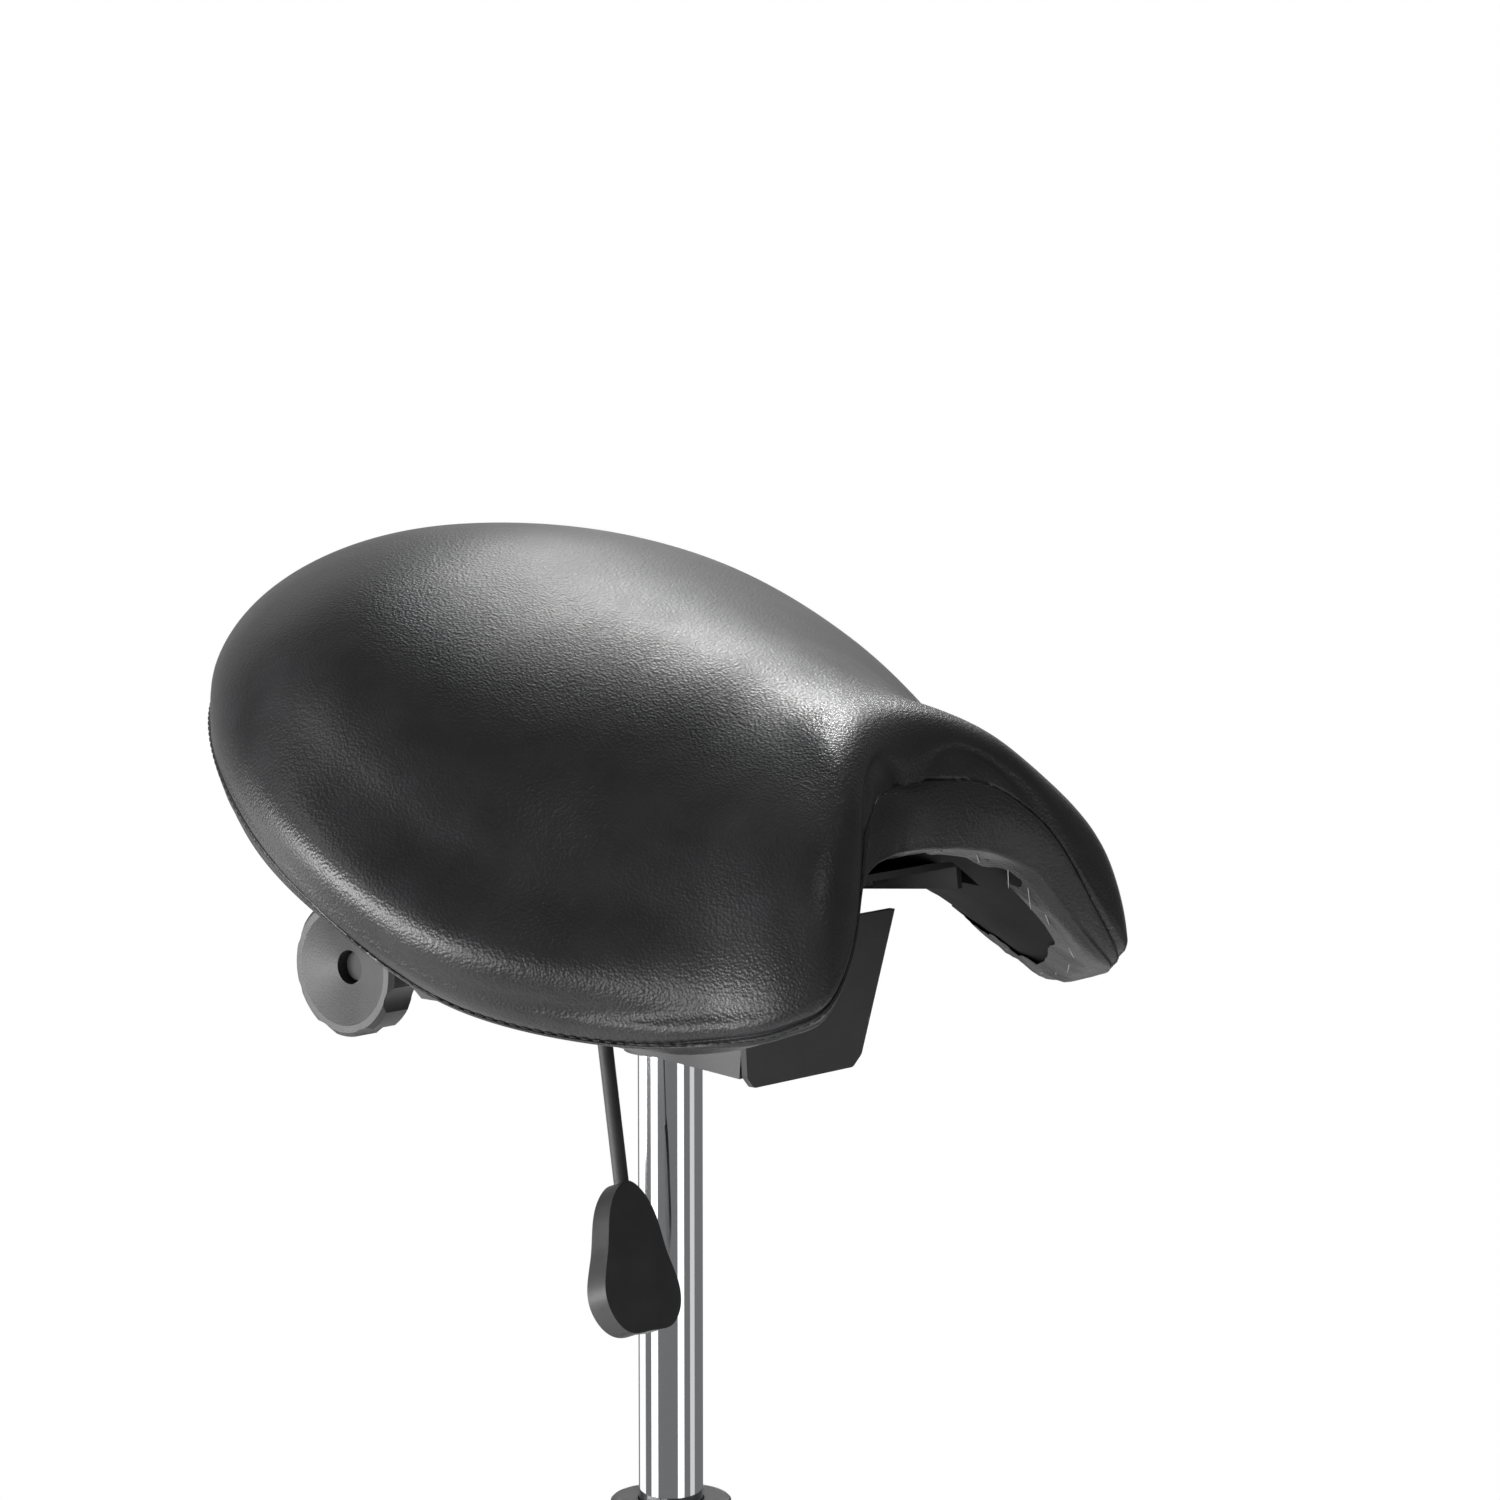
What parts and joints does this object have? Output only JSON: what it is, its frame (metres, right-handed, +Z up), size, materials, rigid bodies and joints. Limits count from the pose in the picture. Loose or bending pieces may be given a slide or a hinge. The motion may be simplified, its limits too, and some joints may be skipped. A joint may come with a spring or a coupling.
{
  "type": "drum throne",
  "caption": "Saddle-shaped padded stool seat on a tilting bracket and a height-adjustable gas-spring column with a five-star base.",
  "frame": {"origin": "on the floor, under the axis of the column", "axes": "+Z up along the column, the sitter faces -Y, the sitter's left hand is on +X"},
  "size_m": [0.5862, 0.5596, 0.7236],
  "materials": {
    "leatherette": "pebbled satin",
    "foam": "open-cell foam",
    "shell_plastic": "moulded matte",
    "black_steel": "satin powder coat",
    "zinc_steel": "zinc plated",
    "chrome": "polished",
    "black_plastic": "moulded satin",
    "base_nylon": "glass-filled nylon",
    "black_rubber": "matte"
  },
  "bodies": {
    "base": {"base_hub": "base_nylon", "leg_1": "base_nylon", "leg_2": "base_nylon", "leg_3": "base_nylon", "leg_4": "base_nylon", "leg_5": "base_nylon", "foot_stem_1": "zinc_steel", "foot_stem_2": "zinc_steel", "foot_stem_3": "zinc_steel", "foot_stem_4": "zinc_steel", "foot_stem_5": "zinc_steel", "rubber_foot_1": "black_rubber", "rubber_foot_2": "black_rubber", "rubber_foot_3": "black_rubber", "rubber_foot_4": "black_rubber", "rubber_foot_5": "black_rubber", "standing_tube": "black_steel", "guide_sleeve": "black_plastic", "top_collar": "black_plastic", "end_plate": "zinc_steel", "thrust_washer": "zinc_steel", "thrust_bearing": "zinc_steel"},
    "piston_rod": {"piston_rod": "chrome", "rod_clip": "zinc_steel", "rod_collar": "zinc_steel", "piston": "zinc_steel", "piston_seal": "black_rubber"},
    "column": {"pressure_tube": "chrome", "rod_gland": "zinc_steel", "valve_body": "zinc_steel", "tilt_bracket": "black_steel", "front_plate": "black_steel", "taper_socket": "black_steel", "pivot_pin": "zinc_steel", "pivot_clip_left": "zinc_steel", "pivot_clip_right": "zinc_steel", "lever_bracket": "black_steel", "lever_pin": "zinc_steel", "clamp_nut": "zinc_steel"},
    "release_pin": {"release_pin": "zinc_steel"},
    "lever": {"lever_rod": "black_steel", "lever_paddle": "black_plastic"},
    "knob": {"clamp_knob": "black_plastic", "clamp_bolt": "black_steel", "clamp_washer": "zinc_steel"},
    "seat": {"seat_plate": "black_steel", "pivot_ear_left": "black_steel", "pivot_ear_right": "black_steel", "slot_ear_left": "black_steel", "slot_ear_right": "black_steel", "seat_bolt_1": "zinc_steel", "seat_bolt_2": "zinc_steel", "seat_bolt_3": "zinc_steel", "seat_bolt_4": "zinc_steel", "seat_shell": "shell_plastic", "seat_foam": "foam", "seat_cover": "leatherette", "cover_band": "leatherette"}
  },
  "joints": [
    {"name": "swivel", "type": "hinge", "parent": "base", "child": "piston_rod", "pos_m": [0, 0, 0.1], "axis": [0, 0, 1], "continuous": true},
    {"name": "height", "type": "slide", "parent": "piston_rod", "child": "column", "axis": [0, 0, 1], "range_m": [-0.19, 0]},
    {"name": "seat_tilt", "type": "hinge", "parent": "column", "child": "seat", "pos_m": [0, -0.034, 0.545], "axis": [1, 0, 0], "range_deg": [-3, 5]},
    {"name": "clamp_turn", "type": "hinge", "parent": "column", "child": "knob", "pos_m": [0, 0.111, 0.537], "axis": [1, 0, 0], "range_deg": [0, 270]},
    {"name": "lever_pull", "type": "hinge", "parent": "column", "child": "lever", "pos_m": [-0.026, 0, 0.5656], "axis": [0, 1, 0], "range_deg": [0, 8], "stiffness_Nm_per_rad": 1.5},
    {"name": "pin_press", "type": "slide", "parent": "column", "child": "release_pin", "axis": [0, 0, -1], "range_m": [0, 0.0037]}
  ],
  "couplings": [
    {"joint": "pin_press", "follows": "lever_pull", "m_per_rad": 0.026}
  ]
}
